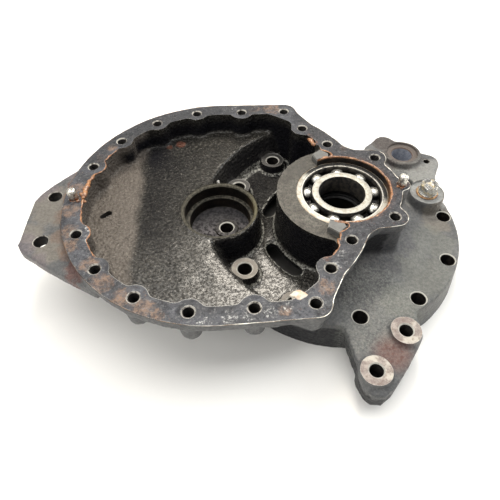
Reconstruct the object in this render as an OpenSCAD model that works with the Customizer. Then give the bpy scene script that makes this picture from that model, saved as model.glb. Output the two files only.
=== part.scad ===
// Gear-case half of a drive unit: cast housing with one ball bearing, its oil
// seal, locating pins and filler plug. Millimetres, +Z up, away from the disc.
// Origin: bearing axis, at the bearing's upper face.

/* [Bearing] */
// Bearing bore diameter
bearing_bore = 40; // [40:1:40]
// Bearing outside diameter
bearing_od = 80; // [80:1:80]
// Bearing width
bearing_w = 18; // [18:1:18]
// Ball diameter
ball_d = 12; // [12:0.5:12]
// Ball circle diameter
ball_pcd = 60; // [60:1:60]
// Number of balls
ball_count = 9; // [9:1:9]
// Angle of the first ball
ball_phase = 7; // [0:1:39]
// Inner ring outside diameter
inner_ring_od = 52.4; // [50:0.1:54]
// Outer ring inside diameter
outer_ring_id = 67.6; // [66:0.1:70]
// Raceway radius
race_r = 6.2; // [6.1:0.05:6.4]
// Running clearance between a ball and a raceway
race_gap = 0.05; // [0.01:0.01:0.1]
// Cage sheet thickness
cage_t = 1; // [0.8:0.1:1.2]
// Cage strip width, across the ball circle
cage_w = 5.6; // [5:0.1:6.5]

/* [Joint flange] */
// Height of the joint face over the bearing face
flange_top = 6; // [4:0.5:8]
// Flange thickness
flange_t = 9; // [7:0.5:12]
// Distance from the bearing axis to the gear chamber's centre
centre_dist = 108; // [100:1:116]
// Flange outer radius about the chamber's centre
flange_r = 130.5; // [126:0.5:134]
// Chamber wall inner radius
chamber_r = 114.5; // [110:0.5:116]
// Chamber wall outer radius
wall_r = 122; // [119:0.5:126]
// Cover bolt circle radius about the chamber's centre
bolt_circle_r = 120; // [118:0.5:122]
// Cover bolt hole diameter
bolt_hole_d = 8.5; // [7:0.1:9]
// Cover bolt hole depth
bolt_hole_depth = 24; // [15:1:30]
// Radius of the bosses that scallop the chamber wall
bolt_boss_r = 11; // [9:0.5:13]
// Locating pin diameter, free end
dowel_d = 8; // [6:0.5:10]
// Locating pin diameter, fixed end
dowel_root_d = 8.5; // [8:0.1:10]
// Height of a locating pin over the joint face
dowel_up = 10; // [6:1:14]
// Depth of a locating pin in the flange
dowel_down = 12; // [8:1:16]

/* [Chambers] */
// Height of the gear chamber's floor
dish_z = -15; // [-20:0.5:-12]
// Thickness of the gear chamber's floor
dish_t = 7; // [5:0.5:10]
// Radius of the floor's inner edge about the bearing axis
dish_edge_r = 121; // [118:0.5:124]
// Height of the deck round the bearing housing
deck_z = -44; // [-46:0.5:-40]
// Deck thickness
deck_t = 8; // [6:0.5:10]
// Radius of the deck's outer edge
deck_r = 109; // [105:0.5:112]
// Radius of the bearing housing
housing_r = 57; // [54:0.5:60]
// Idler pocket diameter
pocket_d = 62; // [62:1:62]
// Idler pocket depth
pocket_depth = 12; // [10:0.5:16]
// Idler pocket relief diameter
pocket_relief_d = 55; // [50:1:58]
// Depth of the idler pocket's relief
pocket_relief_depth = 12; // [8:0.5:15]

/* [Oil seal] */
// Seal outside diameter
seal_od = 62; // [62:1:62]
// Seal width
seal_w = 10; // [8:1:10]
// Seal lip diameter
seal_lip_d = 39; // [38:0.1:39.8]

/* [Disc flange] */
// Top face of the disc flange
disc_z = -39; // [-42:0.5:-36]
// Rise of the case's shoulder over the disc flange
shoulder_h = 12; // [8:0.5:15]
// Radius at the top of the disc's rim
disc_r = 111; // [108:0.5:114]
// Radius at the foot of the disc's rim
foot_r = 114.5; // [112:0.5:117]
// Height of the disc's foot, on which the case rests
foot_z = -69; // [-74:1:-64]
// Radius of the recess under the disc
recess_r = 91; // [86:1:94]
// Disc bolt circle diameter
disc_pcd = 205; // [205:1:205]
// Disc bolt hole diameter
disc_hole_d = 12.5; // [12:0.5:13]
// Number of disc bolt holes
disc_holes = 12; // [12:1:12]
// Angle of the first disc bolt hole
disc_phase = 1; // [0:0.5:3]

/* [Outside] */
// Top of the left mounting ear
ear_z = -2; // [-4:0.5:0]
// Thickness of the left mounting ear
ear_t = 11; // [8:0.5:14]
// Mounting ear hole diameter
ear_hole_d = 12; // [10:0.5:13]
// Thickness of the bracket
bracket_t = 18; // [14:1:22]
// Bracket boss diameter
bracket_boss_d = 24; // [20:0.5:26]
// Bracket hole diameter
bracket_hole_d = 10.6; // [10:0.1:13]
// Height of the shaft boss over the disc
shaft_boss_h = 20; // [16:0.5:24]
// Shaft boss hole diameter
shaft_hole_d = 20; // [14:0.5:22]
// Height of the filler boss over the disc
filler_h = 14; // [10:0.5:18]
// Filler boss radius
filler_r = 16.4; // [14:0.2:18]
// Filler plug thread diameter
plug_d = 12; // [10:0.5:14]
// Height of the filler plug's hexagon
head_h = 8; // [5:0.5:9]

/* [Hidden] */
$fn = 96;
eps = 0.02;
flange_bot = flange_top - flange_t;
mid_z = -bearing_w / 2;
seat_z = -bearing_w;
seal_top = seat_z - 3;
seal_bot = seal_top - seal_w;
pocket_z = dish_z - pocket_depth;
pocket_floor = pocket_z - pocket_relief_depth;
g = [-centre_dist, 0];
bolt_angles = [30, 46, 78, 100, 120, 140, 160];
corner_hole = [-40, 116];
bearing_hole = [36, 37.4];
dowel_left = [-230, 0];
dowel_right = [51, 0];
filler = [88, 20];
shaft_boss = [76.5, 71.5];
ear_boss = [99.5, 62];
bracket_bosses = [[3, -150], [33, -119]];
ear_holes = [[-251.5, 12], [-251.5, -40]];
deck_bosses = [120, 150, 210, 240];
deck_boss_z = -34;
centre_boss_h = 2;

function polar(r, a) = [r * cos(a), r * sin(a)];
function bolt_pos(a) = g + polar(bolt_circle_r, a);
function disc_pos(k) = polar(disc_pcd / 2, disc_phase + k * 360 / disc_holes);

// Upper face round disc hole k: the pocket's boss, a deck boss or the disc.
function disc_hole_top(k) =
  k == 6 ? pocket_floor + centre_boss_h : (k > 3 && k < 9) ? deck_boss_z : disc_z;

module tube(r_out, r_in, z0, z1) {
  difference() {
    translate([0, 0, z0]) cylinder(r = r_out, h = z1 - z0);
    translate([0, 0, z0 - 1]) cylinder(r = r_in, h = z1 - z0 + 2);
  }
}

module drill(p, d, z0, z1) {
  translate([p[0], p[1], z0]) cylinder(r = d / 2, h = z1 - z0);
}

// Chamfered mouth of a hole, from its face at z down.
module mouth(p, d, z) {
  translate([p[0], p[1], z - 0.9]) cylinder(r1 = d / 2, r2 = d / 2 + 1, h = 1);
}

module pillar(p, r, z0, z1) {
  translate([p[0], p[1], z0]) cylinder(r = r, h = z1 - z0);
}

// Tapered pillar with a draughted side, as cast.
module draft_pillar(p, r0, r1, z0, z1) {
  translate([p[0], p[1], z0]) cylinder(r1 = r0, r2 = r1, h = z1 - z0);
}

module both_sides() {
  children();
  mirror([0, 1, 0]) children();
}

// Plate from the joint flange's outline.
module flange_plate(z0, z1) {
  h = z1 - z0;
  pillar(g, flange_r, z0, z1);
  pillar([0, 0], 50, z0, z1);
  pillar(dowel_right, 7.5, z0, z1);
  both_sides() {
    pillar(bearing_hole, 10.5, z0, z1);
    pillar(corner_hole, 12, z0, z1);
  }
  translate([0, 0, z0]) linear_extrude(h) polygon([
    [-108, -130.5], [-40, -128], [-29, -116.5], [-15, -91], [-3, -72],
    [8, -57], [19, -49.5], [36, -47.9], [36, 47.9], [19, 49.5],
    [8, 57], [-3, 72], [-15, 91], [-29, 116.5], [-40, 128], [-108, 130.5]
  ]);
}

// Case wall under the flange, set in from the flange's edge. Beside the gear
// chamber its sides stand at +y and -y.
module wall_plate(y, z0, z1) {
  pillar([0, 0], 48, z0, z1);
  both_sides() pillar(bearing_hole, 8, z0, z1);
  translate([0, 0, z0]) linear_extrude(z1 - z0) polygon([
    [-108, -y], [-70, -y], [-46, -119], [-35, -112], [-21, -88], [-9, -69],
    [2, -54], [15, -47], [36, -45.4], [36, 45.4], [15, 47],
    [2, 54], [-9, 69], [-21, 88], [-35, 112], [-46, 119], [-70, y], [-108, y]
  ]);
}

// Open inside of the case, seen from the joint face.
module inner_space(z0, z1) {
  difference() {
    union() {
      pillar(g, chamber_r, z0, z1);
      translate([0, 0, z0]) linear_extrude(z1 - z0) polygon([
        [-108, -114.5], [-56, -112.5], [-46, -106], [-35, -97], [-34, -88],
        [-23, -72], [-13, -64], [-9, -58.5], [-11, -52.5], [-20, -45],
        [-16.3, -36.6], [-16.3, 36.6], [-20, 45], [-11, 52.5],
        [-9, 58.5], [-13, 64], [-23, 72], [-34, 88], [-35, 97],
        [-46, 106], [-56, 112.5], [-108, 114.5]
      ]);
    }
    both_sides() {
      for (a = bolt_angles) pillar(bolt_pos(a), bolt_boss_r, z0 - 1, z1 + 1);
      pillar(corner_hole, bolt_boss_r, z0 - 1, z1 + 1);
    }
  }
}

// Round chamber over the deck, with its sloping wall.
module deck_space() {
  translate([0, 0, deck_z])
    cylinder(r1 = deck_r, r2 = dish_edge_r, h = dish_z - deck_z);
  pillar([0, 0], dish_edge_r, dish_z - eps, flange_top + 1);
}

// Everything that is open above the floors.
module chamber_space() {
  difference() {
    inner_space(dish_z, flange_top + 1);
    pillar([0, 0], dish_edge_r, dish_z - 1, flange_top + 2);
  }
  difference() {
    intersection() {
      inner_space(deck_z, flange_top + 1);
      deck_space();
    }
    pillar([0, 0], housing_r, deck_z - 1, flange_top + 2);
    draft_pillar(g, 38.6, 36, deck_z - 1, dish_z);
    for (a = deck_bosses) {
      draft_pillar(polar(disc_pcd / 2, a + disc_phase), 12.6, 11.7, deck_z - 1, deck_boss_z);
    }
  }
  intersection() {
    inner_space(0, flange_top + 1);
    pillar([0, 0], housing_r + eps, 0, flange_top + 1);
  }
}

// Outside of the casting, before anything is cut from it.
module case_block() {
  flange_plate(flange_bot, flange_top);
  pillar(g, wall_r, dish_z + 2, flange_bot + 1);
  translate([g[0], g[1], dish_z - dish_t])
    cylinder(r1 = wall_r - 9, r2 = wall_r, h = dish_t + 2);
  wall_plate(wall_r - 1, dish_z, flange_bot + 1);
  wall_plate(wall_r - 7, dish_z - dish_t, dish_z + 1);
  intersection() {
    wall_plate(wall_r - 7, deck_z - deck_t, dish_z - dish_t + 1);
    translate([0, 0, deck_z - deck_t])
      cylinder(r1 = foot_r - 2, r2 = dish_edge_r + 7, h = dish_z - deck_z + 2);
  }
  both_sides() {
    for (a = bolt_angles) {
      draft_pillar(bolt_pos(a), 8, 9.5, flange_top - bolt_hole_depth - 2, flange_bot + 1);
    }
    draft_pillar(corner_hole, 8, 9.5, flange_top - bolt_hole_depth - 2, flange_bot + 1);
    draft_pillar(bearing_hole, 9, 8.5, disc_z - 1, flange_bot + 1);
  }
  draft_pillar(dowel_right, 7.5, 7, -14, flange_bot + 1);
  draft_pillar(dowel_left, 7.5, 7, -14, flange_bot + 1);
  draft_pillar(g, 45, 44, deck_z - deck_t, dish_z - 1);
  neck();
  disc_body();
  ear();
  bracket();
  arm_block();
}

// Sloping shoulder between the disc flange and the bearing end of the case.
module neck() {
  difference() {
    translate([0, 0, disc_z - 1]) cylinder(r1 = 91, r2 = 50, h = shoulder_h + 1);
    translate([-130, -100, disc_z - 2]) cube([100, 200, 60]);
  }
}

module disc_body() {
  translate([0, 0, foot_z])
    cylinder(r1 = foot_r, r2 = disc_r, h = disc_z - foot_z);
}

module ear() {
  difference() {
    translate([0, 0, ear_z - ear_t]) linear_extrude(ear_t) polygon([
      [-269, 8], [-265, 17], [-257, 28], [-244, 42], [-229, 58],
      [-200, 90], [-150, 60], [-150, -60], [-200, -92], [-215, -83],
      [-228, -75], [-245, -64], [-256, -56], [-266, -49], [-270, -42]
    ]);
    pillar(g, wall_r - 4, ear_z - ear_t - 1, ear_z + 1);
  }
}

module bracket() {
  h = bracket_t;
  translate([0, 0, disc_z - h]) linear_extrude(h) polygon([
    [-14, -100], [-12, -116], [-10, -131], [-8, -143], [-8, -157], [-6.5, -162],
    [-1.5, -167.5], [6, -168], [14, -163], [30, -145], [42, -129.5],
    [47, -122], [48, -112], [46, -90]
  ]);
  for (p = bracket_bosses) {
    draft_pillar(p, bracket_boss_d / 2 + 0.6, bracket_boss_d / 2, disc_z - h, disc_z + 5);
  }
}

// Raised block with the shaft boss, the small ear and the filler boss.
module arm_block() {
  top = disc_z + shaft_boss_h;
  z = disc_z - 12;
  draft_pillar(shaft_boss, 20.5, 19, z, top);
  draft_pillar([62.5, 88.5], 13, 11, z, top + 2);
  draft_pillar(ear_boss, 14, 12.5, z, top - 3);
  draft_pillar(filler, filler_r + 0.8, filler_r, disc_z - 1, disc_z + filler_h);
  translate([0, 0, z]) linear_extrude(top - z - 4) polygon([
    [38, 62], [41, 81], [58, 98.5], [84, 91], [107, 70], [105, 48], [101, 34], [76, 37], [60, 44]
  ]);
  translate([0, 0, z]) linear_extrude(top - z + 2) polygon([
    [38, 66], [40.5, 83], [56, 96], [66, 89], [56, 74]
  ]);
}

module bolt_holes() {
  both_sides() {
    for (a = bolt_angles) {
      drill(bolt_pos(a), bolt_hole_d, flange_top - bolt_hole_depth, flange_top + 1);
      mouth(bolt_pos(a), bolt_hole_d, flange_top);
    }
    for (p = [corner_hole, bearing_hole]) {
      drill(p, bolt_hole_d, flange_top - bolt_hole_depth, flange_top + 1);
      mouth(p, bolt_hole_d, flange_top);
    }
  }
  for (p = [dowel_left, dowel_right]) {
    drill(p, dowel_root_d, flange_top - dowel_down, flange_top + 1);
  }
}

module disc_bolt_holes() {
  for (k = [0:disc_holes - 1]) {
    blind = k == 1 || k == 2;
    top = blind ? disc_z - 4 : dish_z - 10;
    drill(disc_pos(k), disc_hole_d, foot_z - 1, top);
    if (!blind) mouth(disc_pos(k), disc_hole_d, disc_hole_top(k));
  }
}

module bearing_cuts() {
  pillar([0, 0], bearing_od / 2, seat_z, flange_top + 1);
  translate([0, 0, flange_top - 1])
    cylinder(r1 = bearing_od / 2, r2 = bearing_od / 2 + 1.5, h = 1.5);
  pillar([0, 0], 35, seal_top, seat_z + 1);
  pillar([0, 0], seal_od / 2, seal_bot, seal_top + 1);
  pillar([0, 0], 27, foot_z - 1, seal_bot + 1);
}

module pocket_cuts() {
  pillar(g, pocket_d / 2, pocket_z, dish_z + 2);
  pillar(g, pocket_relief_d / 2, pocket_floor, pocket_z + 1);
  translate([g[0], g[1], dish_z - 1])
    cylinder(r1 = pocket_d / 2, r2 = pocket_d / 2 + 1.6, h = 1.6);
}

module arc_slot(a0, a1, r0, r1, z0, z1) {
  rm = (r0 + r1) / 2;
  w = r1 - r0;
  translate([0, 0, z0]) rotate([0, 0, a0])
    rotate_extrude(angle = a1 - a0) translate([r0, 0]) square([w, z1 - z0]);
  for (a = [a0, a1]) pillar(polar(rm, a), w / 2 - 0.2, z0, z1);
}

module gear_case() {
  color([0.42, 0.43, 0.44]) difference() {
    union() {
      difference() {
        case_block();
        chamber_space();
        translate([0, 0, foot_z - 1]) cylinder(r = recess_r, h = deck_z - deck_t - foot_z + 1);
        pocket_cuts();
      }
      draft_pillar(disc_pos(6), 11, 10, pocket_floor - 1, pocket_floor + centre_boss_h);
      difference() {
        draft_pillar([0, 0], 40, 38, deck_z - deck_t - 6, deck_z);
        pillar([0, 0], 30, deck_z - deck_t - 7, deck_z + 1);
      }
    }
    bolt_holes();
    disc_bolt_holes();
    bearing_cuts();
    both_sides() arc_slot(131, 160, 60, 71.5, deck_z - deck_t - 1, deck_z + 1);
    for (p = ear_holes) drill(p, ear_hole_d, ear_z - ear_t - 1, ear_z + 1);
    for (p = bracket_bosses) {
      drill(p, bracket_hole_d, disc_z - bracket_t - 1, disc_z + 6);
      mouth(p, bracket_hole_d, disc_z + 5);
    }
    drill(shaft_boss, shaft_hole_d, foot_z - 1, disc_z + shaft_boss_h + 3);
    drill(ear_boss, 6, disc_z - 13, disc_z + shaft_boss_h);
    drill(filler, plug_d, disc_z - 2, disc_z + filler_h + 1);
    drill([-209, -1], 6.5, dish_z - 5, dish_z + 1);
  }
}

module bearing_outer_ring() {
  color([0.78, 0.77, 0.72]) difference() {
    tube(bearing_od / 2, outer_ring_id / 2, -bearing_w, 0);
    translate([0, 0, mid_z]) rotate_extrude()
      translate([ball_pcd / 2 + ball_d / 2 + race_gap - race_r, 0]) circle(r = race_r);
  }
}

module bearing_inner_ring() {
  color([0.82, 0.81, 0.76]) difference() {
    tube(inner_ring_od / 2, bearing_bore / 2, -bearing_w, 0);
    translate([0, 0, mid_z]) rotate_extrude()
      translate([ball_pcd / 2 - ball_d / 2 - race_gap + race_r, 0]) circle(r = race_r);
  }
}

module ball(k) {
  p = polar(ball_pcd / 2, ball_phase + (k - 1) * 360 / ball_count);
  color([0.9, 0.9, 0.9]) translate([p[0], p[1], mid_z]) sphere(r = ball_d / 2);
}

// One pressed half of the cage: flat between the balls, domed over each one.
module cage_half() {
  inner = ball_d / 2 + 0.25;
  intersection() {
    tube((ball_pcd + cage_w) / 2, (ball_pcd - cage_w) / 2, 0.02, inner + cage_t + 1);
    difference() {
      union() {
        cylinder(r = ball_pcd, h = cage_t);
        for (k = [0:ball_count - 1]) {
          p = polar(ball_pcd / 2, ball_phase + k * 360 / ball_count);
          translate([p[0], p[1], 0]) sphere(r = inner + cage_t);
        }
      }
      for (k = [0:ball_count - 1]) {
        p = polar(ball_pcd / 2, ball_phase + k * 360 / ball_count);
        q = polar(ball_pcd / 2, ball_phase + (k + 0.5) * 360 / ball_count);
        translate([p[0], p[1], 0]) sphere(r = inner);
        translate([q[0], q[1], -1]) cylinder(r = 0.9, h = 4);
      }
    }
  }
}

module cage_front() {
  color([0.5, 0.46, 0.4]) translate([0, 0, mid_z]) cage_half();
}

module cage_back() {
  color([0.5, 0.46, 0.4]) translate([0, 0, mid_z]) mirror([0, 0, 1]) cage_half();
}

module cage_rivets() {
  color([0.6, 0.56, 0.5]) for (k = [0:ball_count - 1]) {
    p = polar(ball_pcd / 2, ball_phase + (k + 0.5) * 360 / ball_count);
    pillar(p, 0.9, mid_z - cage_t, mid_z + cage_t);
    pillar(p, 1.5, mid_z + cage_t, mid_z + cage_t + 0.7);
    pillar(p, 1.5, mid_z - cage_t - 0.7, mid_z - cage_t);
  }
}

module seal_case() {
  color([0.3, 0.3, 0.31]) {
    tube(seal_od / 2, seal_od / 2 - 1.5, seal_bot, seal_top);
    tube(seal_od / 2 - 1, 25.5, seal_bot, seal_bot + 1.5);
  }
}

// Rubber lip: a web on the seal case and a lip that hangs to the shaft.
module seal_lip() {
  color([0.08, 0.08, 0.08]) translate([0, 0, seal_bot]) rotate_extrude() polygon([
    [25.6, 1.5], [29.4, 1.5], [29.4, 3.2], [24.6, 3.4], [23.4, 4.6],
    [23.2, 6.2], [20.6, 6.6], [seal_lip_d / 2, 5.2], [20.6, 3.8], [22, 1.5]
  ]);
}

module garter_spring() {
  color([0.6, 0.6, 0.62]) translate([0, 0, seal_bot + 5.4])
    rotate_extrude() translate([24.15, 0]) circle(r = 0.75, $fn = 32);
}

module dowel(p) {
  color([0.8, 0.8, 0.78]) {
    pillar(p, dowel_root_d / 2, flange_top - dowel_down, flange_top);
    pillar(p, dowel_d / 2, flange_top - 1, flange_top + dowel_up - 1);
    translate([p[0], p[1], flange_top + dowel_up - 1])
      cylinder(r1 = dowel_d / 2, r2 = dowel_d / 2 - 1, h = 1);
  }
}

module dowel_pin_left() {
  dowel(dowel_left);
}

module dowel_pin_right() {
  dowel(dowel_right);
}

// Hexagon plug: dished head, round flange under it, and shank.
module filler_plug() {
  z = disc_z + filler_h + 1.5;
  color([0.8, 0.74, 0.55]) difference() {
    union() {
      pillar(filler, 9, z, z + 1.6);
      translate([filler[0], filler[1], z + 1.6]) cylinder(r = 8.7, h = head_h, $fn = 6);
      pillar(filler, plug_d / 2, z - 13, z + 1);
    }
    pillar(filler, 5, z + head_h - 0.4, z + head_h + 2);
  }
}

module plug_washer() {
  z = disc_z + filler_h;
  color([0.72, 0.45, 0.3]) difference() {
    pillar(filler, 10, z, z + 1.5);
    drill(filler, plug_d + 0.4, z - 1, z + 3);
  }
}

// Torn bead of sealant along the inner edge of the joint face.
module bead_arc(c, r, a0, a1) {
  translate([c[0], c[1], flange_top - 0.9]) rotate([0, 0, a0])
    rotate_extrude(angle = a1 - a0) translate([r, 0]) circle(r = 0.8, $fn = 24);
}

module sealant_bead() {
  color([0.75, 0.3, 0.12]) {
    bead_arc(g, chamber_r - 0.3, 167, 193);
    bead_arc(g, chamber_r - 0.3, 206, 214);
    bead_arc(g, chamber_r - 0.3, 146, 154);
    bead_arc([0, 0], 40.7, -62, 88);
  }
}

gear_case();
bearing_outer_ring();
bearing_inner_ring();
ball(1);  // ball_1
ball(2);  // ball_2
ball(3);  // ball_3
ball(4);  // ball_4
ball(5);  // ball_5
ball(6);  // ball_6
ball(7);  // ball_7
ball(8);  // ball_8
ball(9);  // ball_9
cage_front();
cage_back();
cage_rivets();
seal_case();
seal_lip();
garter_spring();
dowel_pin_left();
dowel_pin_right();
filler_plug();
plug_washer();
sealant_bead();
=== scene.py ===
"""Looks of the gear-case half: a rough casting that is machined, its bearing, seal, plug and pins.

Lengths in the code are millimetres unless a name says otherwise; Blender gets metres.
"""
import math

import bmesh
import bpy
import numpy as np
from mathutils import Matrix, Vector, noise


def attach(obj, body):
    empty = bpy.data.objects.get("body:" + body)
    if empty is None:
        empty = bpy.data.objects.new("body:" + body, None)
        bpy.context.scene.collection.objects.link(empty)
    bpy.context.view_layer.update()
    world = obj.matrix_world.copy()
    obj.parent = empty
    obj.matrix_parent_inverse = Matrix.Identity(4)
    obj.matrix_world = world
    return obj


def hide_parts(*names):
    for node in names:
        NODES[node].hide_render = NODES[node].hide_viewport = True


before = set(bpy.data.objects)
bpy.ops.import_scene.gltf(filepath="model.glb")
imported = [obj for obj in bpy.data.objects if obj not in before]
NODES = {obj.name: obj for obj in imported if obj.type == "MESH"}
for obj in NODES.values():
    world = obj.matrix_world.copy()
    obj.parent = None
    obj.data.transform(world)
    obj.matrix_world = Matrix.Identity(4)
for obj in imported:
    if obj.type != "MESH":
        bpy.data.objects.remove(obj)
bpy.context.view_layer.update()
MM = 0.001

X, Y, Z = 0, 1, 2

# Main places of the part, as in its CAD source.
GEAR_X = -108.0
GEAR_CENTRE = (GEAR_X, 0.0)
FLANGE_TOP = 6.0
FLANGE_BOLT_R = 120.0
BOLT_ANGLES = (30, 46, 78, 100, 120, 140, 160)
CORNER_HOLE = (-40.0, 116.0)
BEARING_HOLE = (36.0, 37.4)
DOWELS = {"dowel_pin_left": (-230.0, 0.0), "dowel_pin_right": (51.0, 0.0)}
FILLER = (88.0, 20.0)
FILLER_TOP = -25.0
SHAFT_BOSS = (76.5, 71.5)
SHAFT_BOSS_TOP = -19.0
EAR_BOSS = (99.5, 62.0)
EAR_BOSS_TOP = -22.0
EAR_HOLES = ((-251.5, 12.0), (-251.5, -40.0))
EAR_TOP = -2.0
BRACKET_BOSSES = ((3.0, -150.0), (33.0, -119.0))
BOSS_TOP = -34.0
DISC_BOLT_R = 102.5
DISC_PHASE = 1.0
DISC_TOP = -39.0
DISC_BOLT_HOLE_R = 6.25
FOOT = -69.0
DISH = -15.0
PIT = (-209.0, -1.0)
POCKET_FLOOR = -39.0
POCKET_SEAT = -27.0
CENTRE_BOSS_TOP = -37.0
CRESCENT_TOP = 0.0
CUTTER_TOP = FLANGE_TOP + 6
# Extra metal on the rough casting: on its joint face, and on its low bosses and foot.
ALLOWANCE = 3.0
LOW_ALLOWANCE = 2.0
# How far the plugs in its holes stay below its skin.
SUNK = 0.2
# Block where the joint face ends over the bearing housing; a mirrored one stands on the other side.
HORN = [(-20.5, 45.5), (-16.8, 35.6), (-12.8, 38.6), (-6.4, 41.2), (-5.5, 46.0), (-12.2, 52.4)]


def polar(radius, degrees, centre=(0.0, 0.0)):
    angle = math.radians(degrees)
    return (centre[0] + radius * math.cos(angle), centre[1] + radius * math.sin(angle))


def mirrored(points):
    return [(x, side * y) for x, y in points for side in (1, -1)]


ROUND_BOLTS = [polar(FLANGE_BOLT_R, a, GEAR_CENTRE) for a in BOLT_ANGLES]
COVER_BOLTS = mirrored(ROUND_BOLTS + [CORNER_HOLE, BEARING_HOLE])
DISC_BOLTS = [polar(DISC_BOLT_R, DISC_PHASE + 30 * k) for k in range(12)]
BLIND_DISC_BOLTS = (1, 2)
DECK_DISC_BOLTS = (4, 5, 7, 8)
POCKET_DISC_BOLT = 6


# ---------------------------------------------------------------- mesh tools

def new_object(name, data):
    obj = bpy.data.objects.new(name, data)
    bpy.context.scene.collection.objects.link(obj)
    return obj


def finish_mesh(name, bm, material=None, sharp=None):
    """Turns a bmesh into an object. With sharp, edges over that angle in degrees stay crisp."""
    bmesh.ops.recalc_face_normals(bm, faces=bm.faces)
    mesh = bpy.data.meshes.new(name)
    bm.to_mesh(mesh)
    bm.free()
    if material:
        mesh.materials.append(material)
    if sharp is not None:
        soften(mesh, sharp)
    return new_object(name, mesh)


def soften(mesh, degrees):
    mesh.polygons.foreach_set("use_smooth", [True] * len(mesh.polygons))
    mesh.set_sharp_from_angle(angle=math.radians(degrees))


def add_lathe(bm, profile, centre=(0.0, 0.0), segments=96, closed=False):
    """Adds a solid of revolution about a vertical axis. The profile is a list of (radius, height)."""
    rings = []
    for radius, z in profile:
        count = segments if radius > 1e-6 else 1
        angles = [2 * math.pi * i / segments for i in range(count)]
        spots = [(centre[0] + radius * math.cos(a), centre[1] + radius * math.sin(a), z) for a in angles]
        rings.append([bm.verts.new(Vector(p) * MM) for p in spots])
    pairs = list(zip(rings, rings[1:]))
    if closed:
        pairs.append((rings[-1], rings[0]))
    for low, high in pairs:
        for i in range(segments):
            j = (i + 1) % segments
            corners = [low[i % len(low)], low[j % len(low)], high[j % len(high)], high[i % len(high)]]
            bm.faces.new(list(dict.fromkeys(corners)))


def add_prism(bm, outline, z0, z1):
    low = [bm.verts.new(Vector((x, y, z0)) * MM) for x, y in outline]
    high = [bm.verts.new(Vector((x, y, z1)) * MM) for x, y in outline]
    bm.faces.new(low)
    bm.faces.new(high)
    for i in range(len(outline)):
        j = (i + 1) % len(outline)
        bm.faces.new((low[i], low[j], high[j], high[i]))


def apply_modifiers(obj):
    graph = bpy.context.evaluated_depsgraph_get()
    mesh = bpy.data.meshes.new_from_object(obj.evaluated_get(graph))
    obj.modifiers.clear()
    obj.data = mesh


def combine(target, tool, operation):
    """Boolean of two closed meshes. New faces keep the tool's material."""
    modifier = target.modifiers.new("combine", "BOOLEAN")
    modifier.object = tool
    modifier.operation = operation
    modifier.solver = "MANIFOLD"
    modifier.material_mode = "TRANSFER"
    apply_modifiers(target)
    bpy.data.objects.remove(tool)


def cut(target, name, bm, material):
    combine(target, finish_mesh(name, bm, material), "DIFFERENCE")


def point_vectors(mesh, name):
    values = np.zeros(len(mesh.vertices) * 3)
    mesh.vertices.foreach_get(name, values)
    return values.reshape(-1, 3)


def tube(bm, path, radius_at, sides=8, flat=1.0, closed=False):
    """Adds a tube round a path in metres. radius_at(i) is in millimetres; flat squashes its height."""
    count = len(path)
    rings = []
    for i, point in enumerate(path):
        ahead = path[(i + 1) % count] if closed else path[min(i + 1, count - 1)]
        behind = path[i - 1] if closed or i else path[0]
        forward = (ahead - behind).normalized()
        side = forward.cross(Vector((0, 0, 1))).normalized()
        up = side.cross(forward)
        ring = []
        for k in range(sides):
            a = 2 * math.pi * k / sides
            reach = side * math.cos(a) + up * math.sin(a) * flat
            ring.append(bm.verts.new(point + reach * radius_at(i) * MM))
        rings.append(ring)
    for low, high in list(zip(rings, rings[1:])) + ([(rings[-1], rings[0])] if closed else []):
        for k in range(sides):
            m = (k + 1) % sides
            bm.faces.new((low[k], low[m], high[m], high[k]))
    if not closed:
        bm.faces.new(rings[0])
        bm.faces.new(rings[-1])


# ---------------------------------------------------------------- materials

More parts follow.
